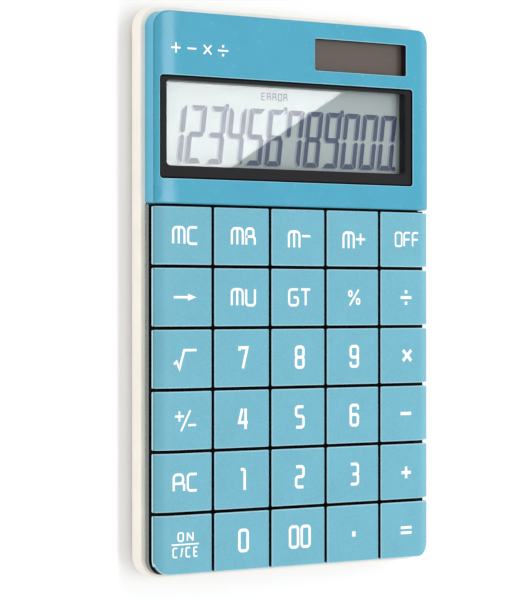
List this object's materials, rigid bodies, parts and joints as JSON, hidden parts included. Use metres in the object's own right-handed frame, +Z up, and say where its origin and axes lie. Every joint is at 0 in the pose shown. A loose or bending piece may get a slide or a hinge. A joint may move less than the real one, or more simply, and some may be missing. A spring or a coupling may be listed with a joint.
{
  "type": "desk calculator",
  "caption": "Slim desk calculator: a light blue display panel with a solar cell over a grid of sprung square keys, in a cream tray-shaped case.",
  "frame": {"origin": "middle of the case's outline, on the plane its four rubber feet stand on", "axes": "+X to the right across the keypad, +Y along the case towards the display, +Z up out of the key tops"},
  "size_m": [0.103, 0.1666, 0.0146],
  "materials": {
    "case_cream": "smooth satin-gloss moulding",
    "frame_grey": "fine matte moulding",
    "panel_cyan": "pearl light blue, satin gloss",
    "key_blue": "pearl grey-blue, satin gloss",
    "bezel_black": "smooth black",
    "holder_black": "matte black",
    "lens_clear": "clear polished plastic",
    "lcd_grey": "reflective grey-green display",
    "strip_rubber": "layered conductive elastomer",
    "solar_brown": "amorphous silicon behind glass",
    "wire_red": "insulation",
    "wire_black": "insulation",
    "board_green": "solder mask",
    "epoxy_black": "cured epoxy",
    "capacitor_sleeve": "shrink sleeve",
    "keypad_rubber": "translucent silicone",
    "nickel": "nickel plate",
    "screw_steel": "zinc plate",
    "foot_rubber": "matte rubber"
  },
  "bodies": {
    "body": {"rear_case": "case_cream", "front_frame": "frame_grey", "display_panel": "panel_cyan", "display_bezel": "bezel_black", "display_lens": "lens_clear", "lcd_panel": "lcd_grey", "lcd_holder": "holder_black", "zebra_strip": "strip_rubber", "solar_cell": "solar_brown", "solar_wire_pos": "wire_red", "solar_wire_neg": "wire_black", "circuit_board": "board_green", "chip_blob": "epoxy_black", "capacitor": "capacitor_sleeve", "rubber_keypad": "keypad_rubber", "battery_cell": "nickel", "battery_contact_neg": "nickel", "battery_contact_pos": "nickel", "battery_door": "case_cream", "door_screw": "screw_steel", "case_screw_1": "screw_steel", "case_screw_2": "screw_steel", "case_screw_3": "screw_steel", "case_screw_4": "screw_steel", "case_screw_5": "screw_steel", "case_screw_6": "screw_steel", "foot_1": "foot_rubber", "foot_2": "foot_rubber", "foot_3": "foot_rubber", "foot_4": "foot_rubber"},
    "key_mc": {"key_mc": "key_blue"},
    "key_mr": {"key_mr": "key_blue"},
    "key_m_minus": {"key_m_minus": "key_blue"},
    "key_m_plus": {"key_m_plus": "key_blue"},
    "key_off": {"key_off": "key_blue"},
    "key_arrow": {"key_arrow": "key_blue"},
    "key_mu": {"key_mu": "key_blue"},
    "key_gt": {"key_gt": "key_blue"},
    "key_percent": {"key_percent": "key_blue"},
    "key_divide": {"key_divide": "key_blue"},
    "key_root": {"key_root": "key_blue"},
    "key_7": {"key_7": "key_blue"},
    "key_8": {"key_8": "key_blue"},
    "key_9": {"key_9": "key_blue"},
    "key_multiply": {"key_multiply": "key_blue"},
    "key_sign": {"key_sign": "key_blue"},
    "key_4": {"key_4": "key_blue"},
    "key_5": {"key_5": "key_blue"},
    "key_6": {"key_6": "key_blue"},
    "key_minus": {"key_minus": "key_blue"},
    "key_ac": {"key_ac": "key_blue"},
    "key_1": {"key_1": "key_blue"},
    "key_2": {"key_2": "key_blue"},
    "key_3": {"key_3": "key_blue"},
    "key_plus": {"key_plus": "key_blue"},
    "key_on_c": {"key_on_c": "key_blue"},
    "key_0": {"key_0": "key_blue"},
    "key_00": {"key_00": "key_blue"},
    "key_point": {"key_point": "key_blue"},
    "key_equals": {"key_equals": "key_blue"}
  },
  "joints": [
    {"name": "key_mc_press", "type": "slide", "parent": "body", "child": "key_mc", "axis": [0, 0, -1], "range_m": [0, 0.0011], "stiffness_N_per_m": 500, "deforming": ["rubber_keypad"]},
    {"name": "key_mr_press", "type": "slide", "parent": "body", "child": "key_mr", "axis": [0, 0, -1], "range_m": [0, 0.0011], "stiffness_N_per_m": 500, "deforming": ["rubber_keypad"]},
    {"name": "key_m_minus_press", "type": "slide", "parent": "body", "child": "key_m_minus", "axis": [0, 0, -1], "range_m": [0, 0.0011], "stiffness_N_per_m": 500, "deforming": ["rubber_keypad"]},
    {"name": "key_m_plus_press", "type": "slide", "parent": "body", "child": "key_m_plus", "axis": [0, 0, -1], "range_m": [0, 0.0011], "stiffness_N_per_m": 500, "deforming": ["rubber_keypad"]},
    {"name": "key_off_press", "type": "slide", "parent": "body", "child": "key_off", "axis": [0, 0, -1], "range_m": [0, 0.0011], "stiffness_N_per_m": 500, "deforming": ["rubber_keypad"]},
    {"name": "key_arrow_press", "type": "slide", "parent": "body", "child": "key_arrow", "axis": [0, 0, -1], "range_m": [0, 0.0011], "stiffness_N_per_m": 500, "deforming": ["rubber_keypad"]},
    {"name": "key_mu_press", "type": "slide", "parent": "body", "child": "key_mu", "axis": [0, 0, -1], "range_m": [0, 0.0011], "stiffness_N_per_m": 500, "deforming": ["rubber_keypad"]},
    {"name": "key_gt_press", "type": "slide", "parent": "body", "child": "key_gt", "axis": [0, 0, -1], "range_m": [0, 0.0011], "stiffness_N_per_m": 500, "deforming": ["rubber_keypad"]},
    {"name": "key_percent_press", "type": "slide", "parent": "body", "child": "key_percent", "axis": [0, 0, -1], "range_m": [0, 0.0011], "stiffness_N_per_m": 500, "deforming": ["rubber_keypad"]},
    {"name": "key_divide_press", "type": "slide", "parent": "body", "child": "key_divide", "axis": [0, 0, -1], "range_m": [0, 0.0011], "stiffness_N_per_m": 500, "deforming": ["rubber_keypad"]},
    {"name": "key_root_press", "type": "slide", "parent": "body", "child": "key_root", "axis": [0, 0, -1], "range_m": [0, 0.0011], "stiffness_N_per_m": 500, "deforming": ["rubber_keypad"]},
    {"name": "key_7_press", "type": "slide", "parent": "body", "child": "key_7", "axis": [0, 0, -1], "range_m": [0, 0.0011], "stiffness_N_per_m": 500, "deforming": ["rubber_keypad"]},
    {"name": "key_8_press", "type": "slide", "parent": "body", "child": "key_8", "axis": [0, 0, -1], "range_m": [0, 0.0011], "stiffness_N_per_m": 500, "deforming": ["rubber_keypad"]},
    {"name": "key_9_press", "type": "slide", "parent": "body", "child": "key_9", "axis": [0, 0, -1], "range_m": [0, 0.0011], "stiffness_N_per_m": 500, "deforming": ["rubber_keypad"]},
    {"name": "key_multiply_press", "type": "slide", "parent": "body", "child": "key_multiply", "axis": [0, 0, -1], "range_m": [0, 0.0011], "stiffness_N_per_m": 500, "deforming": ["rubber_keypad"]},
    {"name": "key_sign_press", "type": "slide", "parent": "body", "child": "key_sign", "axis": [0, 0, -1], "range_m": [0, 0.0011], "stiffness_N_per_m": 500, "deforming": ["rubber_keypad"]},
    {"name": "key_4_press", "type": "slide", "parent": "body", "child": "key_4", "axis": [0, 0, -1], "range_m": [0, 0.0011], "stiffness_N_per_m": 500, "deforming": ["rubber_keypad"]},
    {"name": "key_5_press", "type": "slide", "parent": "body", "child": "key_5", "axis": [0, 0, -1], "range_m": [0, 0.0011], "stiffness_N_per_m": 500, "deforming": ["rubber_keypad"]},
    {"name": "key_6_press", "type": "slide", "parent": "body", "child": "key_6", "axis": [0, 0, -1], "range_m": [0, 0.0011], "stiffness_N_per_m": 500, "deforming": ["rubber_keypad"]},
    {"name": "key_minus_press", "type": "slide", "parent": "body", "child": "key_minus", "axis": [0, 0, -1], "range_m": [0, 0.0011], "stiffness_N_per_m": 500, "deforming": ["rubber_keypad"]},
    {"name": "key_ac_press", "type": "slide", "parent": "body", "child": "key_ac", "axis": [0, 0, -1], "range_m": [0, 0.0011], "stiffness_N_per_m": 500, "deforming": ["rubber_keypad"]},
    {"name": "key_1_press", "type": "slide", "parent": "body", "child": "key_1", "axis": [0, 0, -1], "range_m": [0, 0.0011], "stiffness_N_per_m": 500, "deforming": ["rubber_keypad"]},
    {"name": "key_2_press", "type": "slide", "parent": "body", "child": "key_2", "axis": [0, 0, -1], "range_m": [0, 0.0011], "stiffness_N_per_m": 500, "deforming": ["rubber_keypad"]},
    {"name": "key_3_press", "type": "slide", "parent": "body", "child": "key_3", "axis": [0, 0, -1], "range_m": [0, 0.0011], "stiffness_N_per_m": 500, "deforming": ["rubber_keypad"]},
    {"name": "key_plus_press", "type": "slide", "parent": "body", "child": "key_plus", "axis": [0, 0, -1], "range_m": [0, 0.0011], "stiffness_N_per_m": 500, "deforming": ["rubber_keypad"]},
    {"name": "key_on_c_press", "type": "slide", "parent": "body", "child": "key_on_c", "axis": [0, 0, -1], "range_m": [0, 0.0011], "stiffness_N_per_m": 500, "deforming": ["rubber_keypad"]},
    {"name": "key_0_press", "type": "slide", "parent": "body", "child": "key_0", "axis": [0, 0, -1], "range_m": [0, 0.0011], "stiffness_N_per_m": 500, "deforming": ["rubber_keypad"]},
    {"name": "key_00_press", "type": "slide", "parent": "body", "child": "key_00", "axis": [0, 0, -1], "range_m": [0, 0.0011], "stiffness_N_per_m": 500, "deforming": ["rubber_keypad"]},
    {"name": "key_point_press", "type": "slide", "parent": "body", "child": "key_point", "axis": [0, 0, -1], "range_m": [0, 0.0011], "stiffness_N_per_m": 500, "deforming": ["rubber_keypad"]},
    {"name": "key_equals_press", "type": "slide", "parent": "body", "child": "key_equals", "axis": [0, 0, -1], "range_m": [0, 0.0011], "stiffness_N_per_m": 500, "deforming": ["rubber_keypad"]}
  ]
}
